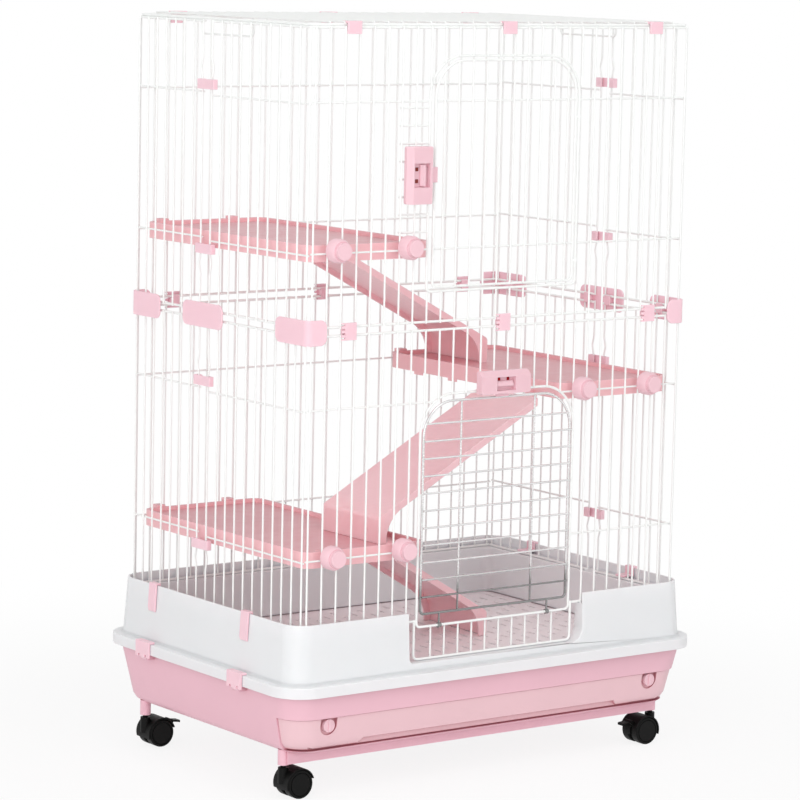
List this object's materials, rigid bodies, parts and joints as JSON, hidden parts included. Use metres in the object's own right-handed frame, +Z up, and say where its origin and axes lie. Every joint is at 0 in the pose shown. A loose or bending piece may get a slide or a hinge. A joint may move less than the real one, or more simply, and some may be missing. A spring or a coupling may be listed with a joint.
{
  "type": "rabbit cage",
  "caption": "Tall two-storey wire rabbit cage on casters, with platforms and ramps inside, hinged doors, a white collar and a pull-out drawer in a pink tub",
  "frame": {"origin": "centre of the footprint on the floor under the casters", "axes": "+X to the right seen from the doors, +Y from the doors to the back, +Z up"},
  "size_m": [0.8076, 0.536, 1.1646],
  "materials": {
    "white_wire": "white powder coat",
    "white_plastic": "satin moulded",
    "grate_plastic": "satin moulded",
    "tub_plastic": "satin moulded",
    "drawer_plastic": "satin moulded",
    "knob_plastic": "satin moulded",
    "platform_plastic": "satin moulded",
    "latch_plastic": "satin moulded",
    "clip_plastic": "satin moulded",
    "caster_plastic": "grained black",
    "wheel_plastic": "smooth black"
  },
  "bodies": {
    "cage": {"base_tub": "tub_plastic", "collar": "white_plastic", "floor_grate": "grate_plastic", "cage_clips": "clip_plastic", "section_clips": "clip_plastic", "small_clips": "clip_plastic", "roof_clips": "clip_plastic", "upper_front_panel": "white_wire", "upper_back_panel": "white_wire", "upper_left_panel": "white_wire", "upper_right_panel": "white_wire", "lower_front_panel": "white_wire", "lower_back_panel": "white_wire", "lower_left_panel": "white_wire", "lower_right_panel": "white_wire", "roof_panel": "white_wire", "upper_latch_case": "latch_plastic", "lower_latch_case": "latch_plastic", "platform_top": "platform_plastic", "platform_middle": "platform_plastic", "platform_low": "platform_plastic"},
    "drawer": {"drawer_tray": "drawer_plastic"},
    "drawer_latch_left": {"drawer_latch_left": "latch_plastic"},
    "flange_clamp_front_left": {"flange_clamp_front_left": "clip_plastic"},
    "flange_clamp_back_left": {"flange_clamp_back_left": "clip_plastic"},
    "drawer_latch_right": {"drawer_latch_right": "latch_plastic"},
    "flange_clamp_front_right": {"flange_clamp_front_right": "clip_plastic"},
    "flange_clamp_back_right": {"flange_clamp_back_right": "clip_plastic"},
    "caster_front_left": {"caster_hood_front_left": "caster_plastic"},
    "wheels_front_left": {"caster_wheels_front_left": "wheel_plastic"},
    "caster_front_right": {"caster_hood_front_right": "caster_plastic"},
    "wheels_front_right": {"caster_wheels_front_right": "wheel_plastic"},
    "brake_lever_front_right": {"brake_lever_front_right": "caster_plastic"},
    "caster_back_left": {"caster_hood_back_left": "caster_plastic"},
    "wheels_back_left": {"caster_wheels_back_left": "wheel_plastic"},
    "brake_lever_back_left": {"brake_lever_back_left": "caster_plastic"},
    "caster_back_right": {"caster_hood_back_right": "caster_plastic"},
    "wheels_back_right": {"caster_wheels_back_right": "wheel_plastic"},
    "upper_door": {"upper_door": "white_wire"},
    "lower_door": {"lower_door": "white_wire"},
    "upper_latch_bolt": {"upper_latch_bolt": "latch_plastic"},
    "lower_latch_bolt": {"lower_latch_bolt": "latch_plastic"},
    "fold_sleeve_lower_left_low": {"fold_sleeve_lower_left_low": "clip_plastic"},
    "fold_sleeve_lower_left_high": {"fold_sleeve_lower_left_high": "clip_plastic"},
    "fold_sleeve_lower_right_low": {"fold_sleeve_lower_right_low": "clip_plastic"},
    "fold_sleeve_lower_right_high": {"fold_sleeve_lower_right_high": "clip_plastic"},
    "fold_sleeve_upper_left_low": {"fold_sleeve_upper_left_low": "clip_plastic"},
    "fold_sleeve_upper_left_high": {"fold_sleeve_upper_left_high": "clip_plastic"},
    "fold_sleeve_upper_right_low": {"fold_sleeve_upper_right_low": "clip_plastic"},
    "fold_sleeve_upper_right_high": {"fold_sleeve_upper_right_high": "clip_plastic"},
    "ramp_top": {"ramp_top": "platform_plastic"},
    "platform_knob_top_left": {"platform_knob_top_left": "knob_plastic"},
    "platform_knob_top_right": {"platform_knob_top_right": "knob_plastic"},
    "ramp_middle": {"ramp_middle": "platform_plastic"},
    "platform_knob_middle_left": {"platform_knob_middle_left": "knob_plastic"},
    "platform_knob_middle_right": {"platform_knob_middle_right": "knob_plastic"},
    "ramp_low": {"ramp_low": "platform_plastic"},
    "platform_knob_low_left": {"platform_knob_low_left": "knob_plastic"},
    "platform_knob_low_right": {"platform_knob_low_right": "knob_plastic"}
  },
  "joints": [
    {"name": "drawer_slide", "type": "slide", "parent": "cage", "child": "drawer", "axis": [0, -1, 0], "range_m": [0, 0.38]},
    {"name": "drawer_latch_left_turn", "type": "hinge", "parent": "drawer", "child": "drawer_latch_left", "pos_m": [-0.313, -0.2446, 0.116], "axis": [0, 1, 0], "range_deg": [0, 180]},
    {"name": "flange_clamp_front_left_open", "type": "hinge", "parent": "cage", "child": "flange_clamp_front_left", "pos_m": [-0.398, -0.122, 0.1605], "axis": [0, -1, 0], "range_deg": [0, 100]},
    {"name": "flange_clamp_back_left_open", "type": "hinge", "parent": "cage", "child": "flange_clamp_back_left", "pos_m": [-0.398, 0.138, 0.1605], "axis": [0, -1, 0], "range_deg": [0, 100]},
    {"name": "drawer_latch_right_turn", "type": "hinge", "parent": "drawer", "child": "drawer_latch_right", "pos_m": [0.313, -0.2446, 0.116], "axis": [0, -1, 0], "range_deg": [0, 180]},
    {"name": "flange_clamp_front_right_open", "type": "hinge", "parent": "cage", "child": "flange_clamp_front_right", "pos_m": [0.398, -0.122, 0.1605], "axis": [0, 1, 0], "range_deg": [0, 100]},
    {"name": "flange_clamp_back_right_open", "type": "hinge", "parent": "cage", "child": "flange_clamp_back_right", "pos_m": [0.398, 0.138, 0.1605], "axis": [0, 1, 0], "range_deg": [0, 100]},
    {"name": "caster_front_left_swivel", "type": "hinge", "parent": "cage", "child": "caster_front_left", "pos_m": [-0.36, -0.195, 0.048], "axis": [0, 0, 1], "continuous": true},
    {"name": "wheels_front_left_roll", "type": "hinge", "parent": "caster_front_left", "child": "wheels_front_left", "pos_m": [-0.34, -0.195, 0.022], "axis": [0, 1, 0], "continuous": true},
    {"name": "caster_front_right_swivel", "type": "hinge", "parent": "cage", "child": "caster_front_right", "pos_m": [0.36, -0.195, 0.048], "axis": [0, 0, 1], "continuous": true},
    {"name": "wheels_front_right_roll", "type": "hinge", "parent": "caster_front_right", "child": "wheels_front_right", "pos_m": [0.34, -0.195, 0.022], "axis": [0, 1, 0], "continuous": true},
    {"name": "brake_lever_front_right_press", "type": "hinge", "parent": "caster_front_right", "child": "brake_lever_front_right", "pos_m": [0.31574, -0.195, 0.03716], "axis": [0, -1, 0], "range_deg": [0, 20]},
    {"name": "caster_back_left_swivel", "type": "hinge", "parent": "cage", "child": "caster_back_left", "pos_m": [-0.36, 0.195, 0.048], "axis": [0, 0, 1], "continuous": true},
    {"name": "wheels_back_left_roll", "type": "hinge", "parent": "caster_back_left", "child": "wheels_back_left", "pos_m": [-0.34, 0.195, 0.022], "axis": [0, 1, 0], "continuous": true},
    {"name": "brake_lever_back_left_press", "type": "hinge", "parent": "caster_back_left", "child": "brake_lever_back_left", "pos_m": [-0.31574, 0.195, 0.03716], "axis": [0, 1, 0], "range_deg": [0, 20]},
    {"name": "caster_back_right_swivel", "type": "hinge", "parent": "cage", "child": "caster_back_right", "pos_m": [0.36, 0.195, 0.048], "axis": [0, 0, 1], "continuous": true},
    {"name": "wheels_back_right_roll", "type": "hinge", "parent": "caster_back_right", "child": "wheels_back_right", "pos_m": [0.34, 0.195, 0.022], "axis": [0, 1, 0], "continuous": true},
    {"name": "upper_door_swing", "type": "hinge", "parent": "cage", "child": "upper_door", "pos_m": [0.143, -0.2365, 0.9365], "axis": [0, 0, 1], "range_deg": [0, 110]},
    {"name": "lower_door_fold", "type": "hinge", "parent": "cage", "child": "lower_door", "pos_m": [0, -0.2365, 0.247], "axis": [1, 0, 0], "range_deg": [0, 90]},
    {"name": "upper_latch_bolt_slide", "type": "slide", "parent": "cage", "child": "upper_latch_bolt", "axis": [1, 0, 0], "range_m": [0, 0.0065]},
    {"name": "lower_latch_bolt_slide", "type": "slide", "parent": "cage", "child": "lower_latch_bolt", "axis": [0, 0, -1], "range_m": [0, 0.0065]},
    {"name": "fold_sleeve_lower_left_low_slide", "type": "slide", "parent": "cage", "child": "fold_sleeve_lower_left_low", "axis": [0, 0, -1], "range_m": [0, 0.0235]},
    {"name": "fold_sleeve_lower_left_high_slide", "type": "slide", "parent": "cage", "child": "fold_sleeve_lower_left_high", "axis": [0, 0, 1], "range_m": [0, 0.0235]},
    {"name": "fold_sleeve_lower_right_low_slide", "type": "slide", "parent": "cage", "child": "fold_sleeve_lower_right_low", "axis": [0, 0, -1], "range_m": [0, 0.0235]},
    {"name": "fold_sleeve_lower_right_high_slide", "type": "slide", "parent": "cage", "child": "fold_sleeve_lower_right_high", "axis": [0, 0, 1], "range_m": [0, 0.0235]},
    {"name": "fold_sleeve_upper_left_low_slide", "type": "slide", "parent": "cage", "child": "fold_sleeve_upper_left_low", "axis": [0, 0, -1], "range_m": [0, 0.0235]},
    {"name": "fold_sleeve_upper_left_high_slide", "type": "slide", "parent": "cage", "child": "fold_sleeve_upper_left_high", "axis": [0, 0, 1], "range_m": [0, 0.0235]},
    {"name": "fold_sleeve_upper_right_low_slide", "type": "slide", "parent": "cage", "child": "fold_sleeve_upper_right_low", "axis": [0, 0, -1], "range_m": [0, 0.0235]},
    {"name": "fold_sleeve_upper_right_high_slide", "type": "slide", "parent": "cage", "child": "fold_sleeve_upper_right_high", "axis": [0, 0, 1], "range_m": [0, 0.0235]},
    {"name": "ramp_top_lift", "type": "hinge", "parent": "cage", "child": "ramp_top", "pos_m": [-0.12, 0.146, 0.81], "axis": [0, -1, 0], "range_deg": [0, 30]},
    {"name": "platform_knob_top_left_turn", "type": "hinge", "parent": "cage", "child": "platform_knob_top_left", "pos_m": [-0.31467, -0.2418, 0.8288], "axis": [0, -1, 0], "range_deg": [0, 360]},
    {"name": "platform_knob_top_right_turn", "type": "hinge", "parent": "cage", "child": "platform_knob_top_right", "pos_m": [-0.18356, -0.2418, 0.8288], "axis": [0, -1, 0], "range_deg": [0, 360]},
    {"name": "ramp_middle_lift", "type": "hinge", "parent": "cage", "child": "ramp_middle", "pos_m": [0.12, -0.12, 0.578], "axis": [0, 1, 0], "range_deg": [0, 30]},
    {"name": "platform_knob_middle_left_turn", "type": "hinge", "parent": "cage", "child": "platform_knob_middle_left", "pos_m": [0.15733, -0.2418, 0.5968], "axis": [0, -1, 0], "range_deg": [0, 360]},
    {"name": "platform_knob_middle_right_turn", "type": "hinge", "parent": "cage", "child": "platform_knob_middle_right", "pos_m": [0.28844, -0.2418, 0.5968], "axis": [0, -1, 0], "range_deg": [0, 360]},
    {"name": "ramp_low_lift", "type": "hinge", "parent": "cage", "child": "ramp_low", "pos_m": [-0.12, 0, 0.3525], "axis": [0, -1, 0], "range_deg": [0, 30]},
    {"name": "platform_knob_low_left_turn", "type": "hinge", "parent": "cage", "child": "platform_knob_low_left", "pos_m": [-0.31467, -0.2418, 0.3713], "axis": [0, -1, 0], "range_deg": [0, 360]},
    {"name": "platform_knob_low_right_turn", "type": "hinge", "parent": "cage", "child": "platform_knob_low_right", "pos_m": [-0.18356, -0.2418, 0.3713], "axis": [0, -1, 0], "range_deg": [0, 360]}
  ]
}
